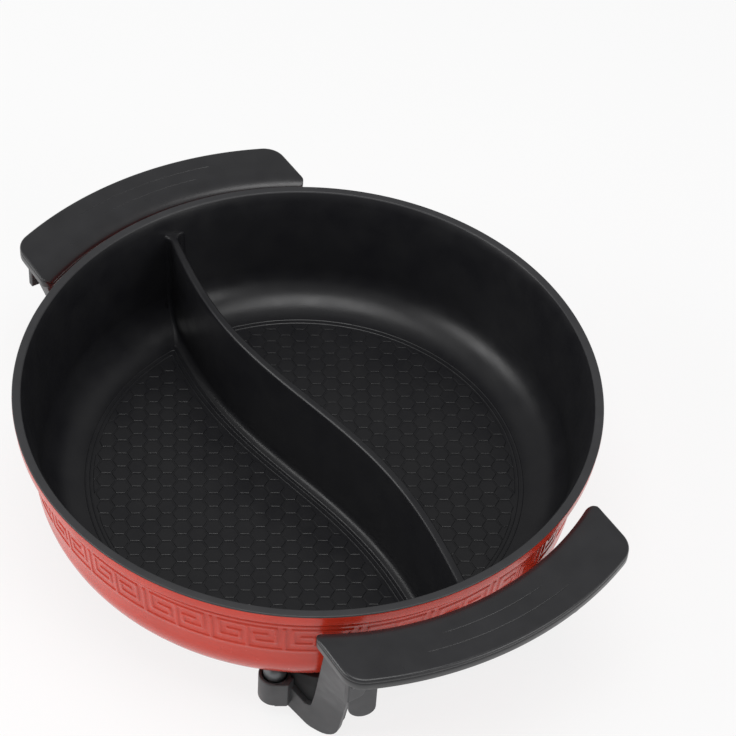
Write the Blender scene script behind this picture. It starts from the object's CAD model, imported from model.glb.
# %% [markdown]
# # A divided cooking pot in enamel, non-stick coating and moulded plastic
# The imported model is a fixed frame, and every piece here is built in its place around it. Shapes
# are formulas on numpy grids, in millimetres, and turned into metres once.

# %% Load the frame
import math

import bpy
import numpy as np
from mathutils import Matrix, Vector
from mathutils.geometry import delaunay_2d_cdt


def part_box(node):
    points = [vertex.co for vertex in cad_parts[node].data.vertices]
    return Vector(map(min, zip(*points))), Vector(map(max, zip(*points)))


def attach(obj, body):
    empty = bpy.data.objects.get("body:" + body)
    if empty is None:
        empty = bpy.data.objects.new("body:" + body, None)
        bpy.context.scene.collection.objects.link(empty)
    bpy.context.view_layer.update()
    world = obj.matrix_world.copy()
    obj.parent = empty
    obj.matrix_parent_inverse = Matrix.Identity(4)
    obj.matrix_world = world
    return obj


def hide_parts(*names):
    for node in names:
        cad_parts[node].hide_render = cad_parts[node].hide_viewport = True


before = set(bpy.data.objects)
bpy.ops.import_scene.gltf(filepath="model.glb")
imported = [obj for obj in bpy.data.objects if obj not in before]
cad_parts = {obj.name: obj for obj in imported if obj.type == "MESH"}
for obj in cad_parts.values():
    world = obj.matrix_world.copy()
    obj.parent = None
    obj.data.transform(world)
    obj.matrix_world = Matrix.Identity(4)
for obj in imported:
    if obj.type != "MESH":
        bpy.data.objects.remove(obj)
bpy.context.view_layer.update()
MM = 0.001
_, pan_high = (np.array(corner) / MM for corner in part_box("pan"))
RIM_R, RIM_Z = float(pan_high[0]), float(pan_high[2])
print(f"rim radius {RIM_R:.1f} mm, rim height {RIM_Z:.1f} mm, {len(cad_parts)} nodes")

# %% [markdown]
# ## Camera
# The photograph was taken from above and beside one handle with a long lens, so the round rim
# shows as a slightly tilted ellipse. The place and the three axes below were worked out from
# that ellipse, the handles and the legs, and the lens keeps the same mild perspective.

# %% Place the camera
CAMERA_PLACE = Vector((0.73858, -0.49174, 1.03917))
CAMERA_RIGHT = Vector((0.53719, 0.84189, 0.05144))
CAMERA_UP = Vector((-0.62555, 0.35675, 0.69384))
camera_data = bpy.data.cameras.new("camera")
camera_data.lens = 119.9
camera_data.sensor_width = 36.0
camera = bpy.data.objects.new("camera", camera_data)
bpy.context.scene.collection.objects.link(camera)
right = CAMERA_RIGHT.normalized()
up = (CAMERA_UP - CAMERA_UP.dot(right) * right).normalized()
turn = Matrix((right, up, right.cross(up))).transposed()
camera.matrix_world = Matrix.Translation(CAMERA_PLACE) @ turn.to_4x4()
bpy.context.scene.camera = camera
print("camera looks along", [round(v, 3) for v in -right.cross(up)])

# %% [markdown]
# ## Mesh helpers
# A surface is a grid of points, row by row. A grid that wraps round becomes a turned shape, and
# a grid whose first and last rows shrink to a point or are filled becomes a closed solid.

# %% Turn grids of points into meshes
def grid_faces(rows, columns, wrap):
    """Corner numbers of the quads of a grid: each cell joins a point to its right and lower ones."""
    across = columns if wrap else columns - 1
    i, j = np.meshgrid(np.arange(rows - 1), np.arange(across), indexing="ij")
    k = (j + 1) % columns
    here, below = i * columns, (i + 1) * columns
    return np.stack([here + j, here + k, below + k, below + j], -1).reshape(-1, 4)


def make_piece(name, points, faces, materials, face_material=None, smooth=True):
    """Mesh object from points in millimetres and lists of corner numbers, with normals outwards."""
    mesh = bpy.data.meshes.new(name)
    mesh.from_pydata((np.asarray(points, float) * MM).tolist(), [], [list(map(int, f)) for f in faces])
    if face_material is not None:
        mesh.polygons.foreach_set("material_index", np.asarray(face_material, np.int32))
    mesh.polygons.foreach_set("use_smooth", np.full(len(mesh.polygons), smooth))
    mesh.update()
    piece = bpy.data.objects.new(name, mesh)
    bpy.context.scene.collection.objects.link(piece)
    for material in materials:
        mesh.materials.append(material)
    if enclosed_volume(mesh) < 0:
        mesh.flip_normals()
    print(f"{name}: {len(mesh.polygons)} faces")
    return piece


def enclosed_volume(mesh):
    """Sum of the signed tetrahedra from the origin to each triangle: negative if inside out."""
    mesh.calc_loop_triangles()
    corners = np.empty(len(mesh.loop_triangles) * 3, np.int32)
    mesh.loop_triangles.foreach_get("vertices", corners)
    places = np.empty(len(mesh.vertices) * 3, np.float32)
    mesh.vertices.foreach_get("co", places)
    a, b, c = np.moveaxis(places.reshape(-1, 3)[corners.reshape(-1, 3)], 1, 0)
    return float(np.einsum("ij,ij->i", a, np.cross(b, c)).sum())


def turned(profile, angles):
    """Grid of a profile of (radius, height) turned to each angle: (r cos a, r sin a, z)."""
    radius, height = np.asarray(profile, float).T
    x = radius[:, None] * np.cos(angles)
    y = radius[:, None] * np.sin(angles)
    return np.stack([x, y, np.repeat(height[:, None], len(angles), 1)], -1)


def arc(centre_a, centre_b, radius, start, stop, steps):
    """Points of a round stretch from the start angle to the stop angle, in degrees."""
    angle = np.radians(np.linspace(start, stop, steps))
    return np.stack([centre_a + radius * np.cos(angle), centre_b + radius * np.sin(angle)], -1)


def rings_solid(rings):
    """Points and faces of a closed solid from rings of equal length, both ends filled flat."""
    rows, columns = len(rings), len(rings[0])
    points = np.concatenate(rings)
    faces = grid_faces(rows, columns, True).tolist()
    faces.append(list(range(columns))[::-1])
    faces.append(list(range((rows - 1) * columns, rows * columns)))
    return points, faces


def joined(parts):
    """One list of points and one of faces from several solids."""
    points, faces, start = [], [], 0
    for part_points, part_faces in parts:
        points.append(np.asarray(part_points, float))
        faces.extend([[int(c) + start for c in face] for face in part_faces])
        start += len(part_points)
    return np.concatenate(points), faces


# %% [markdown]
# ## Materials
# Each finish starts from the real stuff: enamel is glass on metal, the non-stick coat is a
# sprayed polymer, the handles are heat-proof phenolic moulding. One helper adds a node. Patterns
# are noise on Object coordinates, which are in metres, so a lump of size_mm has scale 1 / size.

# %% Node helper and colours
def node(material, kind, inputs=None, **settings):
    """Adds one node, sets its properties, and sets or links its inputs."""
    made = material.node_tree.nodes.new(kind)
    for key, value in settings.items():
        setattr(made, key, value)
    for key, value in (inputs or {}).items():
        if isinstance(value, bpy.types.NodeSocket):
            material.node_tree.links.new(value, made.inputs[key])
        else:
            made.inputs[key].default_value = value
    return made


def link(material, source, target):
    """Joins an output to an input."""
    material.node_tree.links.new(source, target)


def linear(hex_colour):
    """sRGB hex such as 'B0281A' to linear red, green, blue and alpha."""
    parts = np.array([int(hex_colour[i:i + 2], 16) for i in (0, 2, 4)]) / 255
    straight = np.where(parts <= 0.04045, parts / 12.92, ((parts + 0.055) / 1.055) ** 2.4)
    return (*straight.tolist(), 1.0)


def new_material(name):
    """Empty node material with its output, and the Principled shader linked to it."""
    material = bpy.data.materials.new(name)
    material.use_nodes = True
    material.node_tree.nodes.clear()
    shader = node(material, "ShaderNodeBsdfPrincipled")
    node(material, "ShaderNodeOutputMaterial", {"Surface": shader.outputs["BSDF"]})
    return material, shader


def vary_colour(material, shader, low, high, size_mm):
    """Base colour that wanders between two hex colours over patches of size_mm."""
    place = node(material, "ShaderNodeTexCoord").outputs["Object"]
    patches = node(material, "ShaderNodeTexNoise",
                   {"Vector": place, "Scale": 1 / (size_mm * MM), "Detail": 3.0})
    ramp = node(material, "ShaderNodeValToRGB", {"Fac": patches.outputs["Fac"]})
    for stop, position, colour in zip(ramp.color_ramp.elements, (0.3, 0.7), (low, high)):
        stop.position = position
        stop.color = linear(colour)
    link(material, ramp.outputs["Color"], shader.inputs["Base Color"])


def vary_roughness(material, shader, low, high, size_mm):
    """Roughness that wanders between two values over patches of size_mm."""
    place = node(material, "ShaderNodeTexCoord").outputs["Object"]
    patches = node(material, "ShaderNodeTexNoise",
                   {"Vector": place, "Scale": 1 / (size_mm * MM), "Detail": 2.0})
    spread = node(material, "ShaderNodeMapRange",
                  {"Value": patches.outputs["Fac"], "From Min": 0.3, "From Max": 0.7,
                   "To Min": low, "To Max": high})
    link(material, spread.outputs["Result"], shader.inputs["Roughness"])


def roughen(material, shader, size_mm, depth_mm):
    """Bump of a fine grain, depth_mm deep, on the shader's normal."""
    place = node(material, "ShaderNodeTexCoord").outputs["Object"]
    lumps = node(material, "ShaderNodeTexNoise",
                 {"Vector": place, "Scale": 1 / (size_mm * MM), "Detail": 2.0})
    bump = node(material, "ShaderNodeBump",
                {"Height": lumps.outputs["Fac"], "Distance": depth_mm * MM, "Strength": 1.0})
    link(material, bump.outputs["Normal"], shader.inputs["Normal"])


# %% [markdown]
# ### Vitreous enamel
# Red glass fused on the cast wall. It is smooth and wet-looking, with a long, shallow ripple
# ("orange peel") of about 3 mm, and hardly changes in colour.

# %% Enamel
enamel, shader = new_material("vitreous_enamel_red")
shader.inputs["Coat Weight"].default_value = 0.12
shader.inputs["Coat Roughness"].default_value = 0.06
shader.inputs["Specular IOR Level"].default_value = 0.22
vary_colour(enamel, shader, "C2331F", "CC3A26", 30)
vary_roughness(enamel, shader, 0.2, 0.28, 8)
roughen(enamel, shader, 3.2, 0.03)

# %% [markdown]
# ### Non-stick coating
# A sprayed black polymer. Droplets leave a grain of about 0.3 mm, drawn at 0.7 mm so that it
# shows, and a broad, soft sheen.

# %% Non-stick coating and bare satin rim
coating, shader = new_material("sprayed_nonstick_black")
shader.inputs["Specular IOR Level"].default_value = 0.4
vary_colour(coating, shader, "17171A", "1D1D1F", 18)
vary_roughness(coating, shader, 0.3, 0.4, 12)
roughen(coating, shader, 0.7, 0.02)

rim_coat, shader = new_material("satin_rim_coating")
vary_colour(rim_coat, shader, "2C2C2E", "323234", 14)
vary_roughness(rim_coat, shader, 0.42, 0.5, 6)
roughen(rim_coat, shader, 0.6, 0.015)

# %% [markdown]
# ### Phenolic mouldings
# Handles and legs are thermoset plastic from a spark-eroded tool: dark grey, satin, with a grain
# of about 0.4 mm, drawn at 0.8 mm. The wall inside a leg gets a rough, near-black skin that throws
# back little light, because the notch in front of it looks almost black.

# %% Plastics
handle_plastic, shader = new_material("phenolic_handle_satin")
vary_colour(handle_plastic, shader, "222224", "28282A", 16)
vary_roughness(handle_plastic, shader, 0.27, 0.34, 9)
roughen(handle_plastic, shader, 0.8, 0.012)

leg_plastic, shader = new_material("phenolic_leg_satin")
vary_colour(leg_plastic, shader, "3A3A3C", "424244", 16)
vary_roughness(leg_plastic, shader, 0.44, 0.54, 9)
roughen(leg_plastic, shader, 0.8, 0.015)

leg_inside, shader = new_material("phenolic_leg_inside_matt")
vary_colour(leg_inside, shader, "0D0D0F", "121214", 16)
vary_roughness(leg_inside, shader, 0.7, 0.85, 9)
roughen(leg_inside, shader, 0.8, 0.02)

cover_plastic, shader = new_material("phenolic_underside_matt")
vary_colour(cover_plastic, shader, "242426", "2A2A2C", 12)
vary_roughness(cover_plastic, shader, 0.5, 0.62, 7)
roughen(cover_plastic, shader, 0.9, 0.02)

inlet_plastic, shader = new_material("phenolic_inlet_matt")
vary_colour(inlet_plastic, shader, "1C1C1E", "232325", 10)
vary_roughness(inlet_plastic, shader, 0.45, 0.6, 6)
roughen(inlet_plastic, shader, 0.8, 0.02)

# %% [markdown]
# ### Metals and ceramic
# Turned aluminium spacers, zinc-plated steel screws and straps, the heating element's dark
# oxidised sheath, stainless sensor tube, brass pins and a pressed ceramic bush. The casting's own
# bare metal, where the bosses are faced, is a duller and darker grey than the spacers.


# %% Metals
def metal(name, low, high, rough_low, rough_high, grain_mm, depth_mm):
    """Metal with patches of two colours, patches of roughness and a fine grain."""
    made, metal_shader = new_material(name)
    metal_shader.inputs["Metallic"].default_value = 1.0
    vary_colour(made, metal_shader, low, high, 6)
    vary_roughness(made, metal_shader, rough_low, rough_high, 4)
    roughen(made, metal_shader, grain_mm, depth_mm)
    return made


aluminium = metal("turned_aluminium", "B9BBBD", "C9CBCC", 0.28, 0.4, 0.5, 0.01)
bare_casting = metal("machined_bare_casting", "6C6E70", "7C7E80", 0.45, 0.6, 0.5, 0.01)
screw_steel = metal("zinc_plated_screw_steel", "9EA1A3", "B4B7B8", 0.25, 0.38, 0.5, 0.008)
strap_steel = metal("zinc_plated_strap_steel", "A2A4A0", "B8B9B2", 0.3, 0.45, 0.9, 0.012)
shield_steel = metal("aluminised_shield_steel", "9FA1A4", "AEB0B2", 0.4, 0.55, 1.2, 0.015)
sheath_steel = metal("oxidised_heater_sheath", "4E4A48", "63605D", 0.45, 0.6, 0.8, 0.02)
sensor_steel = metal("drawn_stainless_tube", "A8AAAC", "BBBDBE", 0.2, 0.3, 0.6, 0.006)
brass = metal("turned_contact_brass", "B8934A", "C9A45C", 0.22, 0.34, 0.5, 0.008)

ceramic, shader = new_material("pressed_steatite_ceramic")
vary_colour(ceramic, shader, "DDD8CC", "E6E2D8", 4)
vary_roughness(ceramic, shader, 0.5, 0.65, 3)
roughen(ceramic, shader, 0.6, 0.02)
print(len(bpy.data.materials), "materials")

# %% [markdown]
# ## The pan
# On the real pot this is one casting, enamelled outside, coated inside, with a plain satin rim.
# It is one closed turned shape here: the profile runs from the middle of the underside out, up
# the wall, over the rim and down to the middle of the floor, and the finish changes by row.

# %% Sizes of the pan, in millimetres
RIM_W = 4.7
LIP_H = 8.0
BODY_H = 76.5
FLOOR_T = 5.2
WALL_T = 3.0
WALL_TOP_R = RIM_R - 5.6
WALL_TOP_Z = RIM_Z - LIP_H - 3
DRAFT = math.tan(math.radians(6))
CORNER_R, INNER_CORNER_R = 30.0, 22.0
UNDER_Z = RIM_Z - BODY_H
FLOOR_Z = UNDER_Z + FLOOR_T


def wall_radius(z):
    """Radius of the outside of the wall at height z: a straight taper from the lip down."""
    return WALL_TOP_R - (WALL_TOP_Z - z) * DRAFT


CORNER_Z = UNDER_Z + CORNER_R
CORNER_X = wall_radius(CORNER_Z) - CORNER_R
INNER_Z = FLOOR_Z + INNER_CORNER_R
INNER_X = wall_radius(INNER_Z) - WALL_T - INNER_CORNER_R
print(f"floor at {FLOOR_Z:.1f} mm, flat to radius {INNER_X:.1f} mm")

# %% [markdown]
# ### The key-pattern band
# The wall carries a common key pattern as a shallow relief in the same red. Fifty square
# spirals go round, every second one turned the other way. A spiral is a path of straight
# strokes, and a point is raised when it lies within half a stroke of the path. The grid has its
# columns and rows exactly on the strokes' edges, so the relief is crisp with few faces.

# %% Relief of the key pattern
UNITS = 50
UNIT_DEG = 360 / UNITS
BAND_R = 149.0
PITCH = math.radians(UNIT_DEG) * BAND_R
STROKE, RAMP, RELIEF = 1.5, 0.3, 0.4
BORDER_HIGH, TOP_ROW, MID_ROW, LOW_ROW, BORDER_LOW = 93.0, 89.4, 83.3, 77.2, 70.9
LEFT_X, INNER_LEFT_X, DASH_X, RIGHT_X = 0.0, 3.7, 9.8, 14.4
SPIRAL = [(LEFT_X, BORDER_LOW), (LEFT_X, TOP_ROW), (RIGHT_X, TOP_ROW), (RIGHT_X, LOW_ROW),
          (INNER_LEFT_X, LOW_ROW), (INNER_LEFT_X, MID_ROW), (DASH_X, MID_ROW)]


def stroke_distance(x, z):
    """Distance to the spiral's path, measured squarely: the larger of along and across."""
    nearest = np.full(np.broadcast(x, z).shape, 1e3)
    for (x0, z0), (x1, z1) in zip(SPIRAL[:-1], SPIRAL[1:]):
        out_x = np.maximum(np.maximum(min(x0, x1) - x, x - max(x0, x1)), 0)
        out_z = np.maximum(np.maximum(min(z0, z1) - z, z - max(z0, z1)), 0)
        nearest = np.minimum(nearest, np.maximum(out_x, out_z))
    return nearest


def key_relief(x, z):
    """Height of the relief in millimetres: strokes and the two border lines."""
    distance = np.minimum(stroke_distance(x, z), stroke_distance(x - PITCH, z))
    distance = np.minimum(distance, np.abs(z - BORDER_LOW))
    distance = np.minimum(distance, np.abs(z - BORDER_HIGH))
    return RELIEF * np.clip((STROKE / 2 + RAMP - distance) / RAMP, 0, 1)


def edges_of(lines):
    """The four grid lines of each stroke: foot, edge, edge and foot."""
    half = STROKE / 2
    return sorted({round(line + step, 3) for line in lines
                   for step in (-half - RAMP, -half, half, half + RAMP)})


unit_columns = [x for x in edges_of([LEFT_X + PITCH, INNER_LEFT_X, DASH_X, RIGHT_X, LEFT_X])
                if 0 <= x < PITCH - 0.01]
forward = np.array(unit_columns) / PITCH
backward = np.sort((1 - forward) % 1.0)
columns, local_x = [], []
for unit in range(UNITS):
    share = forward if unit % 2 == 0 else backward
    columns.append((unit + share) * UNIT_DEG)
    local_x.append((share if unit % 2 == 0 else 1 - share) * PITCH)
pan_angles = np.radians(np.concatenate(columns))
pan_local_x = np.concatenate(local_x)
print(len(pan_angles), "columns round the pan")

# %% The pan's profile
band_rows = edges_of([BORDER_LOW, LOW_ROW, MID_ROW, TOP_ROW, BORDER_HIGH])
under = [(r, UNDER_Z) for r in (0.01, 60, 100)]
corner = arc(CORNER_X, CORNER_Z, CORNER_R, 270, 354, 15).tolist()
low_wall = [(wall_radius(z), z) for z in (61.5, 64.5, 67.5)]
band = [(wall_radius(z), z) for z in band_rows]
lip = [(wall_radius(95.6), 95.6), (WALL_TOP_R, WALL_TOP_Z), (WALL_TOP_R + 0.5, WALL_TOP_Z + 1.2),
       (WALL_TOP_R + 1.5, WALL_TOP_Z + 2.2), (RIM_R - 1.6, RIM_Z - LIP_H),
       (RIM_R - 0.9, RIM_Z - LIP_H + 0.4), (RIM_R - 0.55, RIM_Z - LIP_H + 1.1),
       (RIM_R - 0.3, RIM_Z - 4), (RIM_R, RIM_Z - 1.3), (RIM_R - 0.05, RIM_Z - 0.75)]
rim = [(RIM_R - 0.3, RIM_Z - 0.25), (RIM_R - 0.8, RIM_Z), (RIM_R - RIM_W + 0.7, RIM_Z),
       (RIM_R - RIM_W + 0.2, RIM_Z - 0.25), (RIM_R - RIM_W - 0.05, RIM_Z - 0.8)]
inner_top = [(RIM_R - RIM_W - 1.2, RIM_Z - 3), (RIM_R - RIM_W - 2.0, RIM_Z - 6),
             (RIM_R - RIM_W - 2.8, RIM_Z - 9), (wall_radius(RIM_Z - 16) - WALL_T, RIM_Z - 16),
             (wall_radius(80) - WALL_T, 80), (wall_radius(68) - WALL_T, 68)]
inner_corner = arc(INNER_X, INNER_Z, INNER_CORNER_R, 354, 270, 15).tolist()
floor_rows = [(r, FLOOR_Z) for r in (112, 80, 40, 0.01)]
profile = under + corner + low_wall + band + lip + rim + inner_top + inner_corner + floor_rows
pan_grid = turned(profile, pan_angles)
heights = pan_grid[:, :, 2]
first_band = len(under + corner + low_wall)
in_band = slice(first_band, first_band + len(band))
relief = key_relief(pan_local_x[None, :], heights[in_band])
reach = 1 + relief / np.hypot(pan_grid[in_band, :, 0], pan_grid[in_band, :, 1])
pan_grid[in_band, :, 0] *= reach
pan_grid[in_band, :, 1] *= reach

pan_points, pan_faces = rings_solid(pan_grid)
first_rim = len(under + corner + low_wall + band + lip) - 1
first_inner = first_rim + len(rim)
row_material = np.zeros(len(profile) - 1, int)
row_material[first_rim:first_inner] = 1
row_material[first_inner:] = 2
face_material = np.append(np.repeat(row_material, len(pan_angles)), [0, 2])
pan_piece = make_piece("pan_casting", pan_points, pan_faces, [enamel, rim_coat, coating],
                       face_material)
weighted = pan_piece.modifiers.new("even_shading", "WEIGHTED_NORMAL")
weighted.keep_sharp = True
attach(pan_piece, "root")
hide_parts("pan")

# %% [markdown]
# ## The divider
# A cast wall on an S curve parts the pan in two. Its section is a closed outline: a rounded top, a
# small draft, and a fillet at the foot. The outline is carried along the curve, and it grows
# wider again over the last few millimetres, where it blends into the pan's wall.

# %% Curve and section of the divider
SWING = 9.7
CURVE = math.pi / (0.95 * RIM_R)
DIVIDER_TOP = RIM_Z - 11.6
TOP_HALF, FOOT_HALF, TOP_ROUND, FOOT_ROUND, END_ROUND = 2.3, 3.1, 1.9, 4.6, 5.0


def s_curve(x):
    """Sideways place of the divider at x: a sine whose half wave is a little under the radius."""
    return SWING * np.sin(CURVE * x)


def inner_radius(z):
    """Radius of the inside of the pan at height z: the round corner, then the tapered wall."""
    below = np.clip(INNER_Z - z, 0, INNER_CORNER_R)
    round_part = INNER_X + np.sqrt(np.clip(INNER_CORNER_R**2 - below**2, 0, None))
    return np.where(z < INNER_Z, round_part, wall_radius(z) - WALL_T)


def divider_half(height):
    """Half thickness at a height over the floor: draft, foot fillet and rounded top."""
    full = DIVIDER_TOP - FLOOR_Z
    straight = FOOT_HALF + (TOP_HALF - FOOT_HALF) * height / full
    into_foot = np.clip(FOOT_ROUND - height, 0, FOOT_ROUND)
    foot = FOOT_ROUND - np.sqrt(FOOT_ROUND**2 - into_foot**2)
    into_top = np.clip(height - (full - TOP_ROUND), 0, TOP_ROUND)
    return straight + foot - TOP_ROUND + np.sqrt(TOP_ROUND**2 - into_top**2)


foot_heights = FOOT_ROUND * (1 - np.cos(np.linspace(0, math.pi / 2, 9)))
top_heights = DIVIDER_TOP - FLOOR_Z - TOP_ROUND * (1 - np.sin(np.linspace(0, math.pi / 2, 9)))
side = np.concatenate([foot_heights, np.linspace(8, 54, 9), top_heights])
section_z = FLOOR_Z + np.concatenate([[-0.8], side, side[::-1], [-0.8]])
half = divider_half(side)
section_w = np.concatenate([[-half[0]], -half, half[::-1], [half[0]]])
along = np.sin(np.linspace(-math.pi / 2, math.pi / 2, 150))
along = np.unique(np.concatenate([along, [-0.985, -0.975, -0.965, 0.965, 0.975, 0.985]]))
stop = inner_radius(section_z) + 1.2
x = along[:, None] * stop[None, :]
gap = np.clip(stop[None, :] - 1.2 - np.abs(x), 0, END_ROUND)
flare = END_ROUND - np.sqrt(END_ROUND**2 - (END_ROUND - gap)**2)
width = section_w[None, :] + np.sign(section_w)[None, :] * flare
slope = SWING * CURVE * np.cos(CURVE * x)
steep = np.sqrt(1 + slope**2)
divider_grid = np.stack([x - width * slope / steep, s_curve(x) + width / steep,
                         np.broadcast_to(section_z, x.shape)], -1)
divider_points, divider_faces = rings_solid(divider_grid)
divider_piece = make_piece("pan_divider", divider_points, divider_faces, [coating])
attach(divider_piece, "root")

# %% [markdown]
# ## The floor's hexagons
# The non-stick floor is pressed with a common honeycomb of very low tiles, parted by fine
# grooves. Each tile is a flat hexagon with a narrow sloping edge, and all of them are one mesh,
# made by adding one tile's points to every centre of the lattice at once.

# %% Lay the tiles
TILE_PITCH, TILE_GROOVE, TILE_HEIGHT, TILE_SLOPE = 9.6, 0.75, 0.35, 0.4
FIELD_EDGE, DIVIDER_EDGE = INNER_X - 5.5, 13.5
steps = np.arange(-16, 17)
one, two = np.meshgrid(steps, steps)
centre_x = (one * TILE_PITCH * math.cos(math.radians(30))).ravel()
centre_y = (one * TILE_PITCH * 0.5 + two * TILE_PITCH).ravel()
tile_r = (TILE_PITCH - TILE_GROOVE) / 2 / math.cos(math.radians(30))
corner_angle = np.radians(np.arange(6) * 60)
hexagon = np.stack([np.cos(corner_angle), np.sin(corner_angle)], -1)


def tile_ring(radius, height):
    """Six corners of every tile at one height, pulled back inside the field's edge."""
    px = centre_x[:, None] + radius * hexagon[None, :, 0]
    py = centre_y[:, None] + radius * hexagon[None, :, 1]
    away = np.hypot(px, py)
    pull = np.minimum(1, (FIELD_EDGE - (tile_r - radius)) / np.maximum(away, 1e-6))
    px, py = px * pull, py * pull
    side_of = np.sign(centre_y - s_curve(centre_x))[:, None]
    edge = s_curve(px) + side_of * (DIVIDER_EDGE + tile_r - radius)
    py = np.where(side_of > 0, np.maximum(py, edge), np.minimum(py, edge))
    return np.stack([px, py, np.full(px.shape, FLOOR_Z + height)], -1)


base = tile_ring(tile_r, -0.05)
shoulder = tile_ring(tile_r - 0.12, TILE_HEIGHT * 0.75)
crown = tile_ring(tile_r - TILE_SLOPE, TILE_HEIGHT)
span_x = np.ptp(crown[:, :, 0], axis=1)
span_y = np.ptp(crown[:, :, 1], axis=1)
whole = (span_x > 2.5) & (span_y > 2.5) & (np.hypot(centre_x, centre_y) < FIELD_EDGE + 3)
tiles = np.stack([base, shoulder, crown], 1)[whole]
count = len(tiles)
first = np.arange(count)[:, None, None] * 18
ring = grid_faces(3, 6, True)[None, :, :] + first
tops = (first[:, :, 0] + np.arange(12, 18)[None, :]).tolist()
unders = (first[:, :, 0] + np.arange(5, -1, -1)[None, :]).tolist()
tile_piece = make_piece("floor_hexagons", tiles.reshape(-1, 3),
                        ring.reshape(-1, 4).tolist() + tops + unders, [coating], smooth=False)
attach(tile_piece, "root")
print(count, "tiles")

# %% [markdown]
# ## Border lines of the honeycomb
# Two fine raised lines run beside the divider and inside the round corner, and close each field.
# A line is a small half-round section carried along a closed path.

# %% Raise the border lines


def field_outline(offset):
    """Closed path round one field, offset outwards: beside the divider, then round the corner."""
    reach_x = FIELD_EDGE + offset
    side_y = DIVIDER_EDGE - offset
    xs = np.linspace(-1, 1, 4001) * reach_x
    ys = s_curve(xs) + side_y
    inside = np.hypot(xs, ys) < reach_x
    xs, ys = xs[inside][::16], ys[inside][::16]
    start, stop_angle = math.atan2(ys[-1], xs[-1]), math.atan2(ys[0], xs[0])
    sweep = np.linspace(start, stop_angle % (2 * math.pi), 180)[1:-1]
    return np.concatenate([np.stack([xs, ys], -1),
                           np.stack([reach_x * np.cos(sweep), reach_x * np.sin(sweep)], -1)])


def raised_line(path, half_width, height):
    """A low ridge on the floor: five points across, carried round a closed path."""
    ahead = np.roll(path, -1, 0) - np.roll(path, 1, 0)
    ahead /= np.linalg.norm(ahead, axis=1, keepdims=True)
    normal = np.stack([ahead[:, 1], -ahead[:, 0]], -1)
    across = np.array([-1, -0.6, 0, 0.6, 1]) * half_width
    up_by = np.array([-0.05, 0.8, 1, 0.8, -0.05]) * height
    plan = path[:, None, :] + across[None, :, None] * normal[:, None, :]
    lift = np.broadcast_to(FLOOR_Z + up_by, plan.shape[:2])
    points = np.concatenate([plan, lift[:, :, None]], -1).transpose(1, 0, 2)
    rows = grid_faces(5, len(path), True)
    last = np.arange(len(path))
    close = np.stack([last, 4 * len(path) + last, 4 * len(path) + (last + 1) % len(path),
                      (last + 1) % len(path)], -1)
    return points.reshape(-1, 3), np.concatenate([rows, close[:, ::-1]]).tolist()


lines = []
for offset in (1.6, 4.2):
    for flip in (1, -1):
        outline = field_outline(offset) * flip
        lines.append(raised_line(outline, 0.45, 0.3))
line_points, line_faces = joined(lines)
line_piece = make_piece("floor_border_lines", line_points, line_faces, [coating])
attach(line_piece, "root")

# %% [markdown]
# ## The wings
# Each grip is a hollow moulding that follows the rim: a broad soft roll on the inside, where the
# fingers go over, a small fillet along the outside and the ends, two fine grooves on top, and a
# thin parting line above the skirt. The top is a height field over a curved plan with round
# corners, worked out from the distance to the plan's edge.

# %% Sizes of a wing
WING_R0, WING_R1, WING_HALF = RIM_R + 5.2, RIM_R + 37.5, 83.8
WING_TOP, WING_H, WING_WALL, POCKET = RIM_Z - 2.4, 7.0, 3.0, 3.0
WING_LOW = WING_TOP - WING_H
CORNERS = [(WING_R1 - 13.0, 13.0, 1), (WING_R0 + 4.3, 4.3, -1)]
FILLET, ROLL_W, ROLL_H, ROLL_POWER, CROWN = 1.5, 11.0, 4.6, 1.8, 0.3
GROOVES = [(WING_R0 + 13.2, 9.4), (WING_R0 + 21.5, 13.2)]
GROOVE_HALF, GROOVE_DEEP = 0.3, 0.35
PARTING_LINE = ((0.3, 0), (0.42, -0.2), (0.78, -0.2), (0.9, 0), (2.2, 0))
LOWER_EDGE = ((0.35, 0), (0.1, -0.1), (0, -0.3))
GROOVE_ROWS = (-0.42, -0.3, -0.14, 0, 0.14, 0.3, 0.42)
WING_ROWS = [0, 0.12, 0.3, 0.55, 0.85, 1.2, 1.6, 2.1, 2.8, 3.8, 5, 6.4, 8, 9.6, 11.2]


def corner_centre(ring, size):
    """Centre of a round corner of the plan: size in from the end, on a circle of radius ring."""
    side = WING_HALF - size
    return math.sqrt(ring**2 - side**2), side


def half_length(r):
    """How far the plan reaches along y at radius r: straight ends, and two true round corners."""
    reach = np.full(r.shape, WING_HALF)
    for ring, size, sense in CORNERS:
        cx, cy = corner_centre(ring, size)
        turn = np.arccos(np.clip((r**2 + ring**2 - size**2) / (2 * r * ring), -1, 1))
        past = sense * (r - math.hypot(cx, WING_HALF)) > 0
        reach = np.where(past, r * np.sin(math.asin(cy / ring) + turn), reach)
    return reach


def edge_gap(x, y):
    """Distance from a point of the plan to its nearest edge, round the corners too."""
    r, side = np.hypot(x, y), np.abs(y)
    gap = np.minimum(np.minimum(WING_R1 - r, r - WING_R0), WING_HALF - side)
    for ring, size, sense in CORNERS:
        cx, cy = corner_centre(ring, size)
        wedge = (sense * (x - cx) > 0) & (side * cx > cy * x)
        gap = np.where(wedge, size - np.hypot(x - cx, side - cy), gap)
    return np.maximum(gap, 0)


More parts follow.
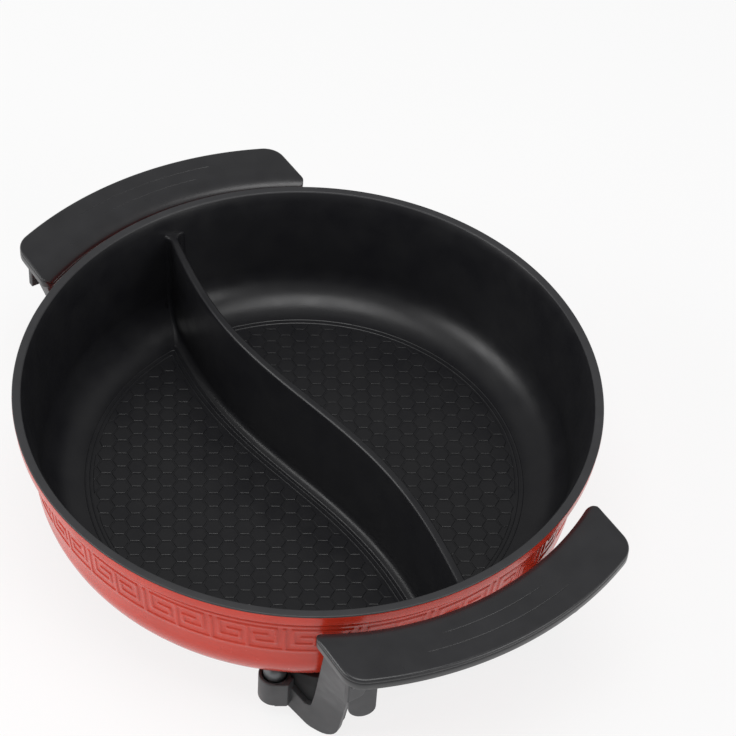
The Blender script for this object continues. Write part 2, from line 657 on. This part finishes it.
def wing_height(x, y):
    """Top surface: a slight crown, less the inner roll, the edge's fillet and the two grooves."""
    r = np.hypot(x, y)
    roll = np.clip(1 - (r - WING_R0) / ROLL_W, 0, 1)
    down = ROLL_H * (1 - np.sqrt(np.clip(1 - roll**ROLL_POWER, 0, 1)))
    into = np.clip(FILLET - edge_gap(x, y), 0, FILLET)
    down = np.maximum(down, FILLET - np.sqrt(FILLET**2 - into**2))
    bearing = np.degrees(np.arcsin(y / r))
    for ring, reach in GROOVES:
        over = np.clip((np.abs(bearing) - reach) * r * math.pi / 180, 0, None)
        far = np.hypot(r - ring, over)
        down = down + GROOVE_DEEP * np.clip(1 - far / GROOVE_HALF, 0, 1)
    outward = np.clip((r - WING_R0 - ROLL_W) / (WING_R1 - WING_R0 - ROLL_W), 0, 1)
    return WING_TOP - down - CROWN * outward**2


def wing_plan():
    """Grid of (x, y) over the plan: rows lie closer at the edges and just outside each groove."""
    edge = np.array(WING_ROWS)
    middle = [ring + row for ring, _ in GROOVES for row in GROOVE_ROWS] + [WING_R0 + 17.5]
    radii = np.unique(np.concatenate([WING_R0 + edge, middle, WING_R1 - edge[:-2]]))
    ends = np.array([0, 0.12, 0.3, 0.6, 1.0, 1.5, 2.2, 3.2, 4.6, 6.4]) / WING_HALF
    share = np.unique(np.concatenate([ends - 1, np.linspace(-0.9, 0.9, 91), 1 - ends]))
    y = half_length(radii)[:, None] * share[None, :]
    return np.sqrt(radii[:, None]**2 - y**2), y


def border(grid):
    """The grid's outer points in order, once round."""
    return np.concatenate([grid[0, :-1], grid[:-1, -1], grid[-1, :0:-1], grid[:0:-1, 0]])


def wing_solid():
    """Closed moulding: top field, skirt with a parting line, lower edge, and a hollow underneath."""
    x, y = wing_plan()
    top = np.stack([x, y, wing_height(x, y)], -1)
    rows, columns = x.shape
    middle_r = (WING_R0 + WING_R1) / 2
    r = np.hypot(x, y)
    shrink = 1 - 2 * WING_WALL / (WING_R1 - WING_R0)
    inner_r = middle_r + (r - middle_r) * shrink
    inner_y = y * (1 - WING_WALL / WING_HALF)
    ceiling = np.stack([np.sqrt(inner_r**2 - inner_y**2), inner_y,
                        np.full(x.shape, WING_LOW + POCKET)], -1)
    edge, inner_edge = border(top), border(ceiling)
    along = np.roll(edge[:, :2], -1, 0) - np.roll(edge[:, :2], 1, 0)
    away = np.stack([along[:, 1], -along[:, 0]], -1)
    away /= np.linalg.norm(away, axis=1, keepdims=True)
    away *= np.sign(((edge[:, :2] - inner_edge[:, :2]) * away).sum(1, keepdims=True))
    flat = np.full(len(edge), WING_LOW)
    skirt = [(np.maximum(edge[:, 2] - drop, WING_LOW + 0.6), out) for drop, out in PARTING_LINE]
    skirt += [(flat + rise, out) for rise, out in LOWER_EDGE]
    rings = [np.column_stack([edge[:, :2] + out * away, height]) for height, out in skirt]
    rings.append(np.column_stack([inner_edge[:, :2], flat]))
    start = rows * columns
    numbers = border(np.arange(start).reshape(rows, columns))
    low_start = start + len(rings) * len(edge)
    loops = [numbers, *(start + i * len(edge) + np.arange(len(edge)) for i in range(len(rings))),
             low_start + numbers]
    faces = grid_faces(rows, columns, False).tolist()
    for high, low in zip(loops[:-1], loops[1:]):
        faces += np.stack([high, low, np.roll(low, -1), np.roll(high, -1)], -1).tolist()
    faces += (grid_faces(rows, columns, False)[:, ::-1] + low_start).tolist()
    return np.concatenate([top.reshape(-1, 3), *rings, ceiling.reshape(-1, 3)]), faces


def mirrored(points, faces, sx, sy):
    """The same solid on the other side: a single mirror turns each face round too."""
    turned_faces = faces if sx * sy > 0 else [face[::-1] for face in faces]
    return np.asarray(points) * (sx, sy, 1), turned_faces


wing_points, wing_faces = wing_solid()
for name, sx in (("wing_near", 1), ("wing_far", -1)):
    wing = make_piece(name + "_moulding", *mirrored(wing_points, wing_faces, sx, 1), [handle_plastic])
    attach(wing, "root")
    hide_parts(name)

# %% [markdown]
# ## The legs
# A leg is one hollow moulding: a cup that takes the screw and its spacer, a web that runs from it
# down to the foot, and a slanted panel up to the wing. A wall behind the web closes its notch up
# to the pan, and is a piece of its own here for its rougher skin. A short straight wall leaves the
# front of the cup, and a rounded tongue and a short return wall hang behind the panel.
# Each flat form is a plate cut to an outline with round corners and softened edges. Its faces are
# filled with points a few millimetres apart, so that the panel can turn smoothly on its way up.

# %% Plates and the shape of a leg
CUP_IN, CUP_AZ = 24.8, math.radians(38.2)
CUP_PLACE = (RIM_R - CUP_IN) * np.array([math.cos(CUP_AZ), -math.sin(CUP_AZ)])
LEG_TURN = math.radians(25)
LEG_T = 4.0
CUP_R, CUP_LOW, CUP_TOP, BORE_R, CUP_FLOOR, SCREW_HOLE = 8.5, 12.5, 30.0, 6.5, 16.0, 2.2
WEB_BACK, PLATE_IN, PLATE_W, PANEL_FOOT_Z = 0.5, 23.7, 17.9, 29.0
WEB_MID, PLATE_OUT = WEB_BACK + LEG_T / 2, PLATE_IN + PLATE_W
FOOT_IN, SHIN_R, HEEL_R, NOTCH_DROP, NOTCH_R = 21.0, 10.0, 12.0, 15.2, 3.0
SHIN, NOTCH, LEAN = (math.tan(math.radians(turn)) for turn in (31, 37, 8))
FRONT_TURN, FRONT_LEN, SIDE_IN, SIDE_OUT = math.radians(55), 6.5, 7.1, 10.0
BACK_T, BACK_TOP, BACK_START, BACK_INSET = 3.0, CUP_TOP + 22, 4.0, 0.5
PANEL_X, PANEL_Y, PANEL_W, PANEL_TOP = WING_R0 - 14.7, 3.5 - WING_HALF, 26.0, WING_LOW - 0.1
PLATE_TOP = PANEL_TOP + 0.3
BLEND_LOW, BLEND_H, EASE = 18.0, 8.0, 0.05
FLANGE_IN, FLANGE_END, FLANGE_LOW, FLANGE_T = WING_WALL + 0.3, -40.0, WING_LOW - 0.7, 3.5
TONGUE_X, TONGUE_Y, TONGUE_TURN = WING_R0 - 1.3, 18.15 - WING_HALF, math.radians(-21.7)
TONGUE_HALF, TONGUE_LOW, TONGUE_T = 7.0, WING_LOW - 47.9, 3.5
RETURN_X, RETURN_LOW, RETURN_LEN = WING_R0 + 2.8, WING_LOW - 19.4, 10.0


def web_corners():
    """Corners (s, z, radius) of web and panel: shin, foot, heel, plate, and the notch by the cup."""
    start, notch_x = BORE_R - 0.1, PLATE_IN - NOTCH_DROP * LEAN
    notch_z = CUP_TOP - NOTCH_DROP
    return [(start, (FOOT_IN - start) * SHIN, 0.3), (FOOT_IN, 0, SHIN_R),
            (PLATE_OUT - CUP_TOP * LEAN, 0, HEEL_R), (PLATE_OUT, CUP_TOP, 30),
            (PLATE_OUT, PLATE_TOP, 0.3), (PLATE_IN, PLATE_TOP, 0.3), (PLATE_IN, CUP_TOP, 30),
            (notch_x, notch_z, NOTCH_R), (start, notch_z + (notch_x - start) * NOTCH, 0.3)]


def rounded(corners, steps=7):
    """Closed outline from (x, y, radius): each corner becomes an arc that both sides touch."""
    table = np.array(corners, float)
    here, radius = table[:, :2], table[:, 2:]
    sides = []
    for other in (np.roll(here, 1, 0), np.roll(here, -1, 0)):
        sides.append((other - here) / np.linalg.norm(other - here, axis=1, keepdims=True))
    half = np.arccos((sides[0] * sides[1]).sum(1, keepdims=True)) / 2
    middle = (sides[0] + sides[1]) / np.linalg.norm(sides[0] + sides[1], axis=1, keepdims=True)
    centre = here + middle * radius / np.sin(half)
    first, last = (here + side * radius / np.tan(half) - centre for side in sides)
    sweep = np.arctan2(first[:, 0] * last[:, 1] - first[:, 1] * last[:, 0], (first * last).sum(1))
    angle = sweep[:, None] * np.linspace(0, 1, steps)
    x = first[:, :1] * np.cos(angle) - first[:, 1:] * np.sin(angle)
    y = first[:, :1] * np.sin(angle) + first[:, 1:] * np.cos(angle)
    return (centre[:, None] + np.stack([x, y], -1)).reshape(-1, 2)


def plate_solid(outline, thickness, soft, spacing=3.0):
    """Closed plate over an outline, its edges rounded by soft, its faces filled with a point grid."""
    after = np.roll(outline, -1, 0)
    ahead = after - np.roll(outline, 1, 0)
    normal = np.stack([-ahead[:, 1], ahead[:, 0]], -1) / np.linalg.norm(ahead, axis=1, keepdims=True)
    area = np.sum(outline[:, 0] * after[:, 1] - outline[:, 1] * after[:, 0])
    inward = normal * np.sign(area)
    count = len(outline)
    face_edge = outline + inward * soft
    low, high = outline.min(0), outline.max(0)
    xs, ys = np.meshgrid(np.arange(low[0], high[0], spacing), np.arange(low[1], high[1], spacing))
    grid = np.stack([xs.ravel(), ys.ravel()], -1)
    reach = np.linalg.norm(grid[:, None] - face_edge[None], axis=2).min(1)
    grid = grid[reach > spacing * 0.45]
    loop = [(i, (i + 1) % count) for i in range(count)]
    flat = [Vector(p) for p in np.concatenate([face_edge, grid]).tolist()]
    spots, _, triangles, origin, _, _ = delaunay_2d_cdt(flat, loop, [], 1, 1e-5)
    number = {old: new for new, olds in enumerate(origin) for old in olds}
    used = sorted({v for face in triangles for v in face} | {number[i] for i in range(count)})
    pick = {v: i for i, v in enumerate(used)}
    cap = np.array([spots[v][:] for v in used])
    edge = [pick[number[i]] for i in range(count)]
    bend = np.radians([30, 60, 90])
    rings = [(soft * (1 - np.sin(a)), thickness / 2 - soft * (1 - np.cos(a))) for a in bend]
    rings += [(inset, -depth) for inset, depth in rings[::-1]]
    points = [np.column_stack([cap, np.full(len(cap), thickness / 2)])]
    points += [np.column_stack([outline + inward * inset, np.full(count, depth)])
               for inset, depth in rings]
    points.append(np.column_stack([cap, np.full(len(cap), -thickness / 2)]))
    first = len(cap)
    second_cap = first + len(rings) * count
    loops = [edge, *([first + k * count + i for i in range(count)] for k in range(len(rings))),
             [second_cap + e for e in edge]]
    faces = [[pick[v] for v in face] for face in triangles]
    if area < 0:
        loops = [ring[::-1] for ring in loops]
    for high_ring, low_ring in zip(loops[:-1], loops[1:]):
        faces += [[high_ring[i], low_ring[i], low_ring[j], high_ring[j]] for i, j in loop]
    faces += [[second_cap + pick[v] for v in face][::-1] for face in triangles]
    return np.concatenate(points), faces


def on_leg(s, out, z):
    """Point of the leg's own frame: s along the web from the cup's axis, out square to it."""
    c, d = math.cos(LEG_TURN), math.sin(LEG_TURN)
    return np.stack([CUP_PLACE[0] + s * c + out * d, CUP_PLACE[1] + s * d - out * c, z], -1)


def panel_place(points):
    """Web below, panel above: from PANEL_FOOT_Z up, points move from the web's plane to the end of
    the wing, with a short ease at the bend."""
    s, z, out = points.T
    low = on_leg(s, out - WEB_MID, z)
    share = (s - PLATE_IN) / PLATE_W
    high = np.stack([PANEL_X + PANEL_W * share, PANEL_Y + LEG_T / 2 - out, z], -1)
    rise = (z - PANEL_FOOT_Z) / (PANEL_TOP - PANEL_FOOT_Z)
    moved = (rise + np.sqrt(rise**2 + EASE**2)) / 2 * np.clip((z - BLEND_LOW) / BLEND_H, 0, 1)
    placed = low + (high - low) * moved[:, None]
    placed[:, 2] = np.minimum(z, PANEL_TOP)
    return placed


def underside(x, y):
    """Height of the pan's underside: the flat floor, then the circle of its round corner."""
    into = np.clip(np.hypot(x, y) - CORNER_X, 0, CORNER_R - 0.5)
    return CORNER_Z - np.sqrt(CORNER_R**2 - into**2)


def back_wall():
    """Plate behind the web, from just outside the bore, whose top follows the pan's underside."""
    outer = PLATE_OUT - BACK_INSET
    s = np.linspace(BACK_START, outer, 16)
    inner = on_leg(s, -(WEB_BACK + LEG_T + BACK_T), 0 * s)
    top = np.minimum(underside(inner[:, 0], inner[:, 1]) - 0.6, BACK_TOP)
    top = np.column_stack([s, top])[::-1]
    low = [(BACK_START, CUP_LOW), (outer - (CUP_TOP - CUP_LOW) * LEAN, CUP_LOW), (outer, CUP_TOP)]
    plate, faces = plate_solid(np.concatenate([low, top]), BACK_T + 1, 0.4)
    t, z, out = plate.T
    return on_leg(t, out - (WEB_BACK + LEG_T + (BACK_T - 1) / 2), z), faces


def front_wall():
    """Straight wall that leaves the cup as a tangent, and its return to the web, as one plan."""
    out = np.array([math.cos(FRONT_TURN), -math.sin(FRONT_TURN)])
    ahead = np.array([math.sin(FRONT_TURN), math.cos(FRONT_TURN)])
    tangent, inner = CUP_R * out, (BORE_R + 0.4) * out
    bend = inner + ahead * (SIDE_IN - inner[0]) / ahead[0]
    plan = [(*tangent, 0.2), (*(tangent + FRONT_LEN * ahead), 1.5), (SIDE_OUT, WEB_MID, 0.3),
            (SIDE_IN, WEB_MID, 0.3), (*bend, 0.5), (*inner, 0.2)]
    wall, faces = plate_solid(rounded(plan), CUP_TOP - CUP_LOW, 0.4)
    s, y, z = wall.T
    return on_leg(s, -y, z + (CUP_LOW + CUP_TOP) / 2), faces


def turned_solid(profile, step, x, y):
    """Closed turned solid at (x, y): the profile's last point joins its first, so it has a bore."""
    grid = turned(profile, np.radians(np.arange(0, 360, step)))
    rows, columns = grid.shape[:2]
    ring = np.arange(columns)
    close = np.stack([(rows - 1) * columns + ring, (rows - 1) * columns + (ring + 1) % columns,
                      (ring + 1) % columns, ring], -1)
    return grid.reshape(-1, 3) + (x, y, 0), grid_faces(rows, columns, True).tolist() + close.tolist()


def cup_solid():
    """Closed turned cup: floor with a screw hole, wall, and a bore that takes the spacer."""
    profile = [(SCREW_HOLE, CUP_LOW), (CUP_R - 1.1, CUP_LOW), (CUP_R - 0.4, CUP_LOW + 0.25),
               (CUP_R, CUP_LOW + 0.9), (CUP_R, CUP_LOW + 8.5), (CUP_R, CUP_TOP - 0.8),
               (CUP_R - 0.2, CUP_TOP - 0.2), (CUP_R - 0.7, CUP_TOP), (BORE_R + 0.6, CUP_TOP),
               (BORE_R + 0.1, CUP_TOP - 0.2), (BORE_R, CUP_TOP - 0.7), (BORE_R, CUP_FLOOR),
               (SCREW_HOLE, CUP_FLOOR)]
    return turned_solid(profile, 7.5, *CUP_PLACE)


def flange_outline():
    """The part of the wing's hollow that the leg fills, from the wing's end to FLANGE_END."""
    r0, r1, side = WING_R0 + FLANGE_IN, WING_R1 - FLANGE_IN, WING_HALF - FLANGE_IN
    inner = np.linspace(-side, FLANGE_END, 12)
    outer = np.linspace(FLANGE_END, -side + 2, 12)
    arc_in = np.column_stack([np.sqrt(r0**2 - inner**2), inner])
    arc_out = np.column_stack([np.sqrt(r1**2 - outer**2), outer])
    return np.concatenate([arc_in, arc_out, [(arc_out[-1, 0] - 1.2, -side)]])


def leg_solid():
    """All the forms of one leg, near and left, joined in one mesh."""
    panel, panel_faces = plate_solid(rounded(web_corners()), LEG_T, 0.4)
    tongue_curve = arc(0, TONGUE_LOW + TONGUE_HALF, TONGUE_HALF, 180, 360, 13)
    tongue_top = [(TONGUE_HALF, FLANGE_LOW + 1), (-TONGUE_HALF, FLANGE_LOW + 1)]
    tongue, tongue_faces = plate_solid(np.concatenate([tongue_curve, tongue_top]), TONGUE_T, 0.8)
    t, z, out = tongue.T
    c, d = math.cos(TONGUE_TURN), math.sin(TONGUE_TURN)
    tongue = np.stack([TONGUE_X + out * c - t * d, TONGUE_Y + out * d + t * c, z], -1)
    wall_shape = [(0, RETURN_LOW, 0.3), (RETURN_LEN, RETURN_LOW, 3),
                  (RETURN_LEN, FLANGE_LOW + 1, 0.3), (0, FLANGE_LOW + 1, 0.3)]
    wall, wall_faces = plate_solid(rounded(wall_shape), LEG_T, 0.7)
    t, z, out = wall.T
    wall = np.stack([RETURN_X + LEG_T / 2 + out, PANEL_Y + 0.3 + t, z], -1)
    flange, flange_faces = plate_solid(flange_outline(), FLANGE_T, 0.4)
    flange = flange + (0, 0, FLANGE_LOW + FLANGE_T / 2)
    return joined([cup_solid(), (panel_place(panel), panel_faces), front_wall(),
                   (tongue, tongue_faces), (wall, wall_faces), (flange, flange_faces)])


# %% Set the four legs
leg_points, leg_faces = leg_solid()
inner_points, inner_faces = back_wall()
for name, sx, sy in (("leg_near_left", 1, 1), ("leg_near_right", 1, -1),
                     ("leg_far_left", -1, 1), ("leg_far_right", -1, -1)):
    leg = make_piece(name + "_moulding", *mirrored(leg_points, leg_faces, sx, sy), [leg_plastic])
    shading = leg.modifiers.new("even_shading", "WEIGHTED_NORMAL")
    shading.keep_sharp = True
    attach(leg, "root")
    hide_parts(name)
    inside = make_piece(name + "_inner_wall", *mirrored(inner_points, inner_faces, sx, sy),
                        [leg_inside])
    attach(inside, "root")

# %% [markdown]
# ## Bosses under the pan
# Cast posts stand under the pan: six for the heater's straps and three for the heat shield. Each
# is a turned solid that widens where it meets the casting. Four bosses over the cups are faced
# down to bare metal, so that they seat squarely on the spacers, and have no fillet. Their tops
# follow the sloping casting, just inside it.

# %% Cast the posts
RING_R, STRAP_Z, SHIELD_Z, SCREW_BORE = 82.0, 24.4, 17.4, 1.9
STRAP_HALF, STRAP_POST_R, SHIELD_IN, SHIELD_POST_R = 9.0, 3.8, 32.0, 4.0
BOSS_R, BOSS_LOW, BOSS_TOP, BITE = 6.0, CUP_TOP + 0.02, 41.0, 1.0


def post_solid(x, y, low, radius, bore, top=UNDER_Z + 0.4, fillet=2.0):
    """Turned post up into the pan's underside by no more than BITE, with or without a fillet."""
    root = arc(radius + fillet, UNDER_Z - fillet, fillet, 180, 90, 6).tolist() if fillet else []
    profile = [(bore, top), (bore, low), (radius - 0.4, low), (radius, low + 0.4),
               *root, (radius + fillet, top)]
    points, faces = turned_solid(profile, 10, x, y)
    points[:, 2] = np.minimum(points[:, 2], underside(points[:, 0], points[:, 1]) + BITE)
    return points, faces


bosses = [post_solid(sx * CUP_PLACE[0], sy * CUP_PLACE[1], BOSS_LOW, BOSS_R, SCREW_HOLE, BOSS_TOP, 0)
          for sx in (1, -1) for sy in (1, -1)]
boss_piece = make_piece("fixing_bosses", *joined(bosses), [bare_casting])
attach(boss_piece, "root")
spots = [(turn, RING_R + step, STRAP_Z, STRAP_POST_R)
         for turn in (90, 180, 270) for step in (-STRAP_HALF, STRAP_HALF)]
spots += [(turn, RING_R - SHIELD_IN, SHIELD_Z + 0.8, SHIELD_POST_R) for turn in (60, 180, 300)]
posts = [post_solid(out * math.cos(math.radians(turn)), out * math.sin(math.radians(turn)),
                    low, radius, SCREW_BORE) for turn, out, low, radius in spots]
post_piece = make_piece("pan_posts", *joined(posts), [enamel])
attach(post_piece, "root")

# %% [markdown]
# ## Finishes of the machined and bought pieces
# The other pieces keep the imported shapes. Each gets its own stuff, and flat faces stay crisp while
# round ones shade smoothly.

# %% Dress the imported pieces
FINISHES = {
    "wing_cover_near wing_cover_far": cover_plastic,
    "spacer_near_left spacer_near_right spacer_far_left spacer_far_right sensor_block": aluminium,
    "leg_screws wing_screws strap_screws shield_screws block_screws inlet_screws": screw_steel,
    "heater": sheath_steel,
    "strap_left strap_right strap_far": strap_steel,
    "heat_shield": shield_steel,
    "sensor_tube": sensor_steel,
    "inlet_housing": inlet_plastic,
    "pin_left pin_right earth_strip": brass,
    "bush_left bush_right": ceramic,
}
for names, material in FINISHES.items():
    for name in names.split():
        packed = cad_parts[name]
        packed.data.materials.clear()
        packed.data.materials.append(material)

# %% [markdown]
# ## Stage and light
# A white floor that shows as white to the camera but still takes the pot's shadow, a dim white
# world, and three soft lamps. The large panel hangs above the camera's side of the pot, so that
# flat black faces do not mirror it and only the far round corner of the pan catches it. The two
# others stand on each side.

# %% Floor
FLOOR_HALF, FLOOR_DROP, GLOW_SHARE = 6.0, 0.0002, 0.8
floor_mesh = bpy.data.meshes.new("floor")
signs = ((-1, -1), (1, -1), (1, 1), (-1, 1))
floor_mesh.from_pydata([(FLOOR_HALF * sx, FLOOR_HALF * sy, 0) for sx, sy in signs], [],
                       [(0, 1, 2, 3)])
floor = bpy.data.objects.new("floor", floor_mesh)
floor.location.z = -FLOOR_DROP
bpy.context.scene.collection.objects.link(floor)
paper, shader = new_material("white_studio_paper")
shader.inputs["Base Color"].default_value = (0.9, 0.9, 0.9, 1)
shader.inputs["Roughness"].default_value = 0.9
glow = node(paper, "ShaderNodeEmission", {"Color": (1, 1, 1, 1), "Strength": 1.0})
path = node(paper, "ShaderNodeLightPath")
seen = node(paper, "ShaderNodeMath", {0: path.outputs["Is Camera Ray"],
                                      1: path.outputs["Is Glossy Ray"]}, operation="MAXIMUM")
seen = node(paper, "ShaderNodeMath", {0: seen.outputs[0],
                                      1: path.outputs["Is Transmission Ray"]}, operation="MAXIMUM")
share = node(paper, "ShaderNodeMath", {0: seen.outputs[0], 1: GLOW_SHARE}, operation="MULTIPLY")
mixed = node(paper, "ShaderNodeMixShader", {0: share.outputs[0], 1: shader.outputs["BSDF"],
                                            2: glow.outputs["Emission"]})
paper_out = next(n for n in paper.node_tree.nodes if n.type == "OUTPUT_MATERIAL")
link(paper, mixed.outputs["Shader"], paper_out.inputs["Surface"])
floor_mesh.materials.append(paper)

# %% World and lamps
world = bpy.data.worlds.new("studio")
world.use_nodes = True
world.node_tree.nodes["Background"].inputs["Color"].default_value = (1, 1, 1, 1)
world.node_tree.nodes["Background"].inputs["Strength"].default_value = 0.35
bpy.context.scene.world = world
bpy.context.scene.view_settings.view_transform = "Standard"
PANEL_SIZE, AIM = 1.0, Vector((0, 0, 0.05))
for name, place, power in (("panel_above", (0.3, -0.2, 1.7), 13),
                           ("panel_left", (-0.6, -1.5, 0.9), 14),
                           ("panel_right", (1.6, 0.7, 0.9), 10)):
    data = bpy.data.lights.new(name, "AREA")
    data.shape = "RECTANGLE"
    data.size, data.size_y, data.energy = PANEL_SIZE, PANEL_SIZE, power
    lamp = bpy.data.objects.new(name, data)
    bpy.context.scene.collection.objects.link(lamp)
    lamp.location = place
    lamp.rotation_euler = (AIM - Vector(place)).to_track_quat("-Z", "Y").to_euler()
print(len(bpy.data.lights), "lamps")
